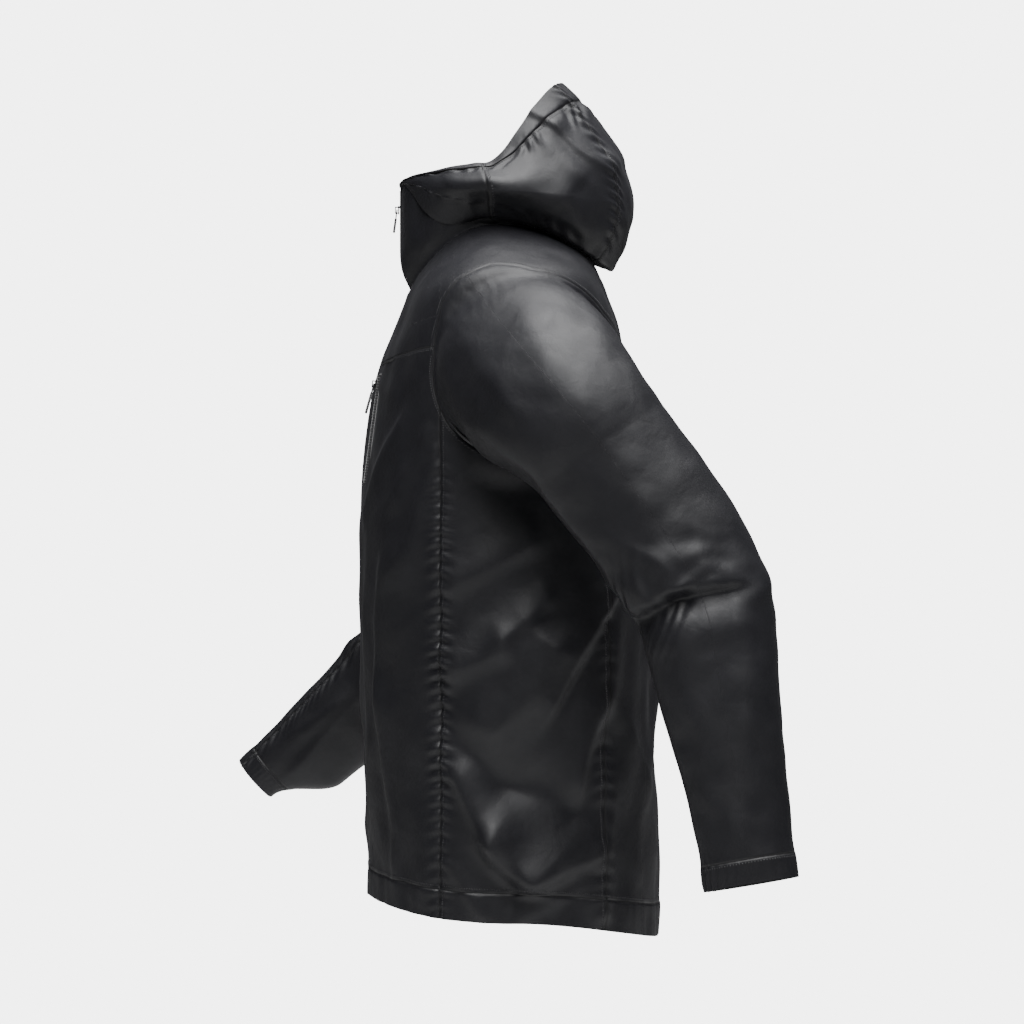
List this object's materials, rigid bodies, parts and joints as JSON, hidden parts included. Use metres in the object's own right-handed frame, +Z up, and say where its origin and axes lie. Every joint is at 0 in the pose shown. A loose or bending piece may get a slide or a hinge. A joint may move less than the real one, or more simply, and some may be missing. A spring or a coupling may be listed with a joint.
{
  "type": "hooded shell jacket",
  "caption": "Hooded zip-front mountain shell jacket in its worn shape, with swinging sleeves, bending elbows, a tilting hood and working zip sliders and cord locks.",
  "frame": {"origin": "middle of the neck's base, where the worn jacket hangs on the wearer's shoulders", "axes": "+Z up, -Y the wearer's front, +X the wearer's left"},
  "size_m": [0.729, 0.6133, 0.9305],
  "materials": {
    "shell_cloth": "thin plain-woven nylon shell with a slight gloss",
    "inner_cloth": "thin matt nylon lining cloth",
    "zip_tape": "laminated zip tape",
    "zip_coil": "nylon coil",
    "zip_metal": "black enamelled zinc",
    "pull_grip": "moulded grip",
    "lock_plastic": "moulded acetal",
    "spring_steel": "spring wire",
    "elastic": "knitted elastic",
    "seam_tape": "welded seam tape"
  },
  "bodies": {
    "torso": {"back_panel": "shell_cloth", "back_yoke": "shell_cloth", "chest_pocket_bag": "inner_cloth", "chest_zip_coils": "zip_coil", "chest_zip_tapes": "zip_tape", "collar_back": "inner_cloth", "collar_left": "shell_cloth", "collar_right": "shell_cloth", "front_left_panel": "shell_cloth", "front_left_yoke": "shell_cloth", "front_right_panel": "shell_cloth", "front_right_yoke": "shell_cloth", "hang_loop": "inner_cloth", "hem_band": "shell_cloth", "hem_drawcord": "elastic", "left_hem_lock_barrel": "lock_plastic", "left_hem_lock_spring": "spring_steel", "main_zip_left_coil": "zip_coil", "main_zip_left_tape": "zip_tape", "main_zip_pin": "zip_metal", "main_zip_retainer_box": "zip_metal", "main_zip_right_coil": "zip_coil", "main_zip_right_tape": "zip_tape", "main_zip_top_stops": "zip_metal", "right_hem_lock_barrel": "lock_plastic", "right_hem_lock_spring": "spring_steel", "side_left_panel": "shell_cloth", "side_right_panel": "shell_cloth", "side_seam_tapes": "seam_tape", "wind_flap": "inner_cloth"},
    "left_upper_arm": {"left_under_sleeve": "shell_cloth", "left_top_sleeve": "shell_cloth", "left_elbow_panel": "shell_cloth"},
    "left_forearm": {"left_forearm": "shell_cloth", "left_cuff_band": "shell_cloth", "left_cuff_elastic": "elastic"},
    "right_upper_arm": {"right_under_sleeve": "shell_cloth", "right_top_sleeve": "shell_cloth", "right_elbow_panel": "shell_cloth"},
    "right_forearm": {"right_forearm": "shell_cloth", "right_cuff_band": "shell_cloth", "right_cuff_elastic": "elastic"},
    "hood": {"hood_left_side": "shell_cloth", "hood_right_side": "shell_cloth", "hood_centre_panel": "shell_cloth", "hood_brim": "shell_cloth", "hood_edge_binding": "elastic", "hood_lock_barrel": "lock_plastic", "hood_lock_spring": "spring_steel", "hood_adjuster_cord": "elastic"},
    "main_slider": {"main_zip_slider": "zip_metal"},
    "main_pull": {"main_zip_pull": "zip_metal", "main_zip_pull_grip": "pull_grip"},
    "chest_slider": {"chest_zip_slider": "zip_metal"},
    "chest_pull": {"chest_zip_pull": "zip_metal", "chest_zip_pull_grip": "pull_grip"},
    "hood_lock_button": {"hood_lock_plunger": "lock_plastic"},
    "left_hem_button": {"left_hem_lock_plunger": "lock_plastic"},
    "right_hem_button": {"right_hem_lock_plunger": "lock_plastic"}
  },
  "joints": [
    {"name": "left_shoulder_swing", "type": "hinge", "parent": "torso", "child": "left_upper_arm", "pos_m": [0.208, 0.043, -0.126], "axis": [-1, 0, 0], "range_deg": [-20, 95]},
    {"name": "left_elbow_bend", "type": "hinge", "parent": "left_upper_arm", "child": "left_forearm", "pos_m": [0.297, 0.2181, -0.35394], "axis": [-1, 0, 0], "range_deg": [-24, 34]},
    {"name": "right_shoulder_swing", "type": "hinge", "parent": "torso", "child": "right_upper_arm", "pos_m": [-0.208, 0.043, -0.126], "axis": [-1, 0, 0], "range_deg": [-55, 60]},
    {"name": "right_elbow_bend", "type": "hinge", "parent": "right_upper_arm", "child": "right_forearm", "pos_m": [-0.297, -0.04041, -0.40106], "axis": [-1, 0, 0], "range_deg": [-27, 31]},
    {"name": "hood_pull_forward", "type": "hinge", "parent": "torso", "child": "hood", "pos_m": [0, 0.02, 0.045], "axis": [1, 0, 0], "range_deg": [0, 18]},
    {"name": "main_slider_slide", "type": "slide", "parent": "torso", "child": "main_slider", "axis": [0, 0, -1], "range_m": [-0.01, 0.04]},
    {"name": "main_pull_swing", "type": "hinge", "parent": "main_slider", "child": "main_pull", "pos_m": [0, -0.1025, 0.057], "axis": [-1, 0, 0], "range_deg": [-5, 150]},
    {"name": "chest_slider_slide", "type": "slide", "parent": "torso", "child": "chest_slider", "axis": [0, -0.1333, -0.9911], "range_m": [-0.004, 0.09]},
    {"name": "chest_pull_swing", "type": "hinge", "parent": "chest_slider", "child": "chest_pull", "pos_m": [0.07255, -0.12542, -0.13642], "axis": [-0.9878, -0.1546, 0.0208], "range_deg": [-5, 150]},
    {"name": "hood_lock_press", "type": "slide", "parent": "hood", "child": "hood_lock_button", "axis": [0, 0, -1], "range_m": [0, 0.0025], "stiffness_N_per_m": 400, "springref_m": -0.001, "deforming": ["hood_lock_spring"]},
    {"name": "left_hem_lock_press", "type": "slide", "parent": "torso", "child": "left_hem_button", "axis": [0, 0, -1], "range_m": [0, 0.0025], "stiffness_N_per_m": 400, "springref_m": -0.001, "deforming": ["left_hem_lock_spring"]},
    {"name": "right_hem_lock_press", "type": "slide", "parent": "torso", "child": "right_hem_button", "axis": [0, 0, -1], "range_m": [0, 0.0025], "stiffness_N_per_m": 400, "springref_m": -0.001, "deforming": ["right_hem_lock_spring"]}
  ]
}
